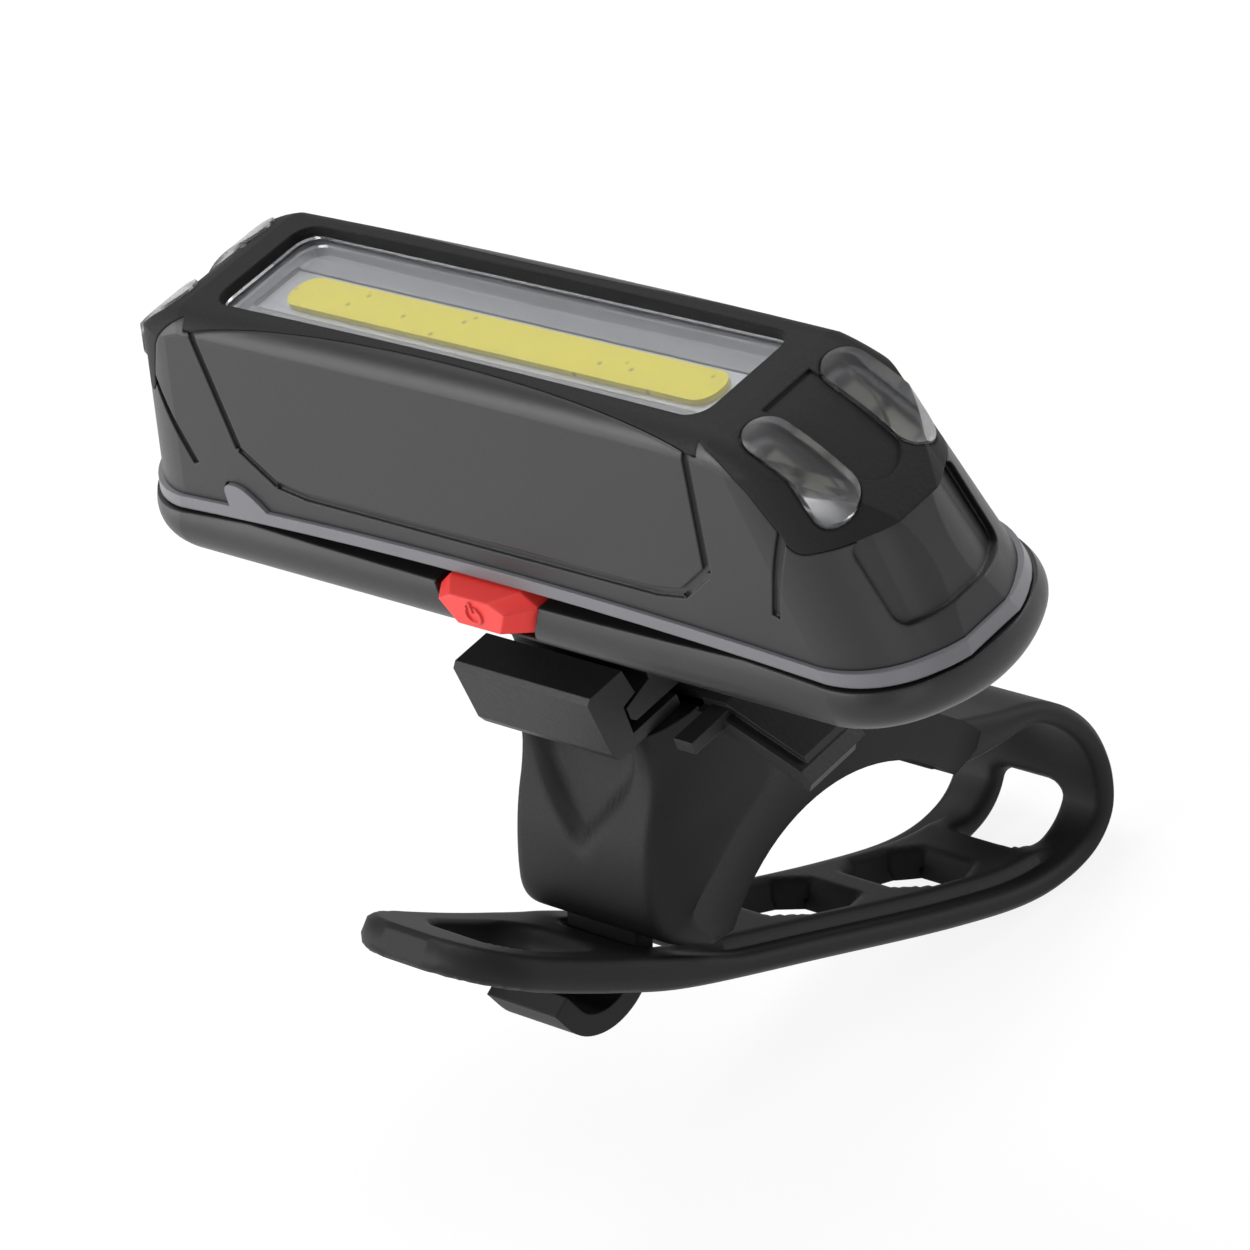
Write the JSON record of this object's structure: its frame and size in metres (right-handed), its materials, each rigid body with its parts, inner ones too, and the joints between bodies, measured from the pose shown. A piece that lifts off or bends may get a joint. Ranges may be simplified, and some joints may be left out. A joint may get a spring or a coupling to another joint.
{
  "type": "bike light",
  "caption": "Rechargeable bike light with a long light strip, end lenses and a power button, on a slide-in bracket with a rubber strap that wraps a bar.",
  "frame": {"origin": "on the axis of the bar that the rubber saddle sits on, in the middle of the light's length", "axes": "+X along the light and the bar, towards the latch tongue's end; +Z from the bar up through the light's window; the power button faces -Y"},
  "size_m": [0.1009, 0.0738, 0.0833],
  "materials": {
    "bezel_black": "fine spark texture",
    "shell_grey": "satin",
    "clear_window": "clear, polished",
    "tray_silver": "silver grey, satin",
    "board_metal": "matte",
    "strip_yellow": "phosphor yellow",
    "spreader_metal": "matte",
    "clear_lens": "clear, polished",
    "board_green": "solder mask",
    "cup_chrome": "bright",
    "led_white": "clear package",
    "guide_grey": "translucent, satin",
    "seal_rubber": "matte",
    "lower_black": "satin",
    "cell_wrap": "shrink sleeve",
    "socket_steel": "bright",
    "button_red": "satin",
    "screw_steel": "zinc plated",
    "bracket_black": "fine texture",
    "strap_rubber": "matte silicone"
  },
  "bodies": {
    "light": {"top_bezel": "bezel_black", "upper_shell": "shell_grey", "window_cover": "clear_window", "reflector_tray": "tray_silver", "strip_board": "board_metal", "light_strip": "strip_yellow", "heat_spreader": "spreader_metal", "front_lens_left": "clear_lens", "front_lens_right": "clear_lens", "rear_lens_left": "clear_lens", "rear_lens_right": "clear_lens", "front_signal_board": "board_green", "rear_signal_board": "board_green", "front_reflector_cups": "cup_chrome", "rear_reflector_cups": "cup_chrome", "front_signal_leds": "led_white", "rear_signal_leds": "led_white", "light_guide_ring": "guide_grey", "shell_seal": "seal_rubber", "lower_shell": "lower_black", "battery_cell": "cell_wrap", "cell_cradle": "lower_black", "main_board": "board_green", "charging_socket": "socket_steel", "button_switch": "lower_black", "shell_screws": "screw_steel", "slide_foot": "bracket_black", "foot_screws": "screw_steel", "bracket_base": "bracket_black", "mount_strap": "strap_rubber"},
    "power_button": {"power_button": "button_red"},
    "latch_tongue": {"latch_tongue": "bracket_black"},
    "socket_cover": {"socket_cover": "seal_rubber"}
  },
  "joints": [
    {"name": "button_press", "type": "slide", "parent": "light", "child": "power_button", "axis": [0, 1, 0], "range_m": [0, 0.0006], "stiffness_N_per_m": 800},
    {"name": "latch_press", "type": "hinge", "parent": "light", "child": "latch_tongue", "pos_m": [-0.006, -0.0048, 0.0356], "axis": [0, 1, 0], "range_deg": [0, 6], "stiffness_Nm_per_rad": 0.8},
    {"name": "cover_open", "type": "hinge", "parent": "light", "child": "socket_cover", "pos_m": [-0.0491, -0.0048, 0.0466], "axis": [0, 1, 0], "range_deg": [-110, 0], "stiffness_Nm_per_rad": 0.004}
  ]
}
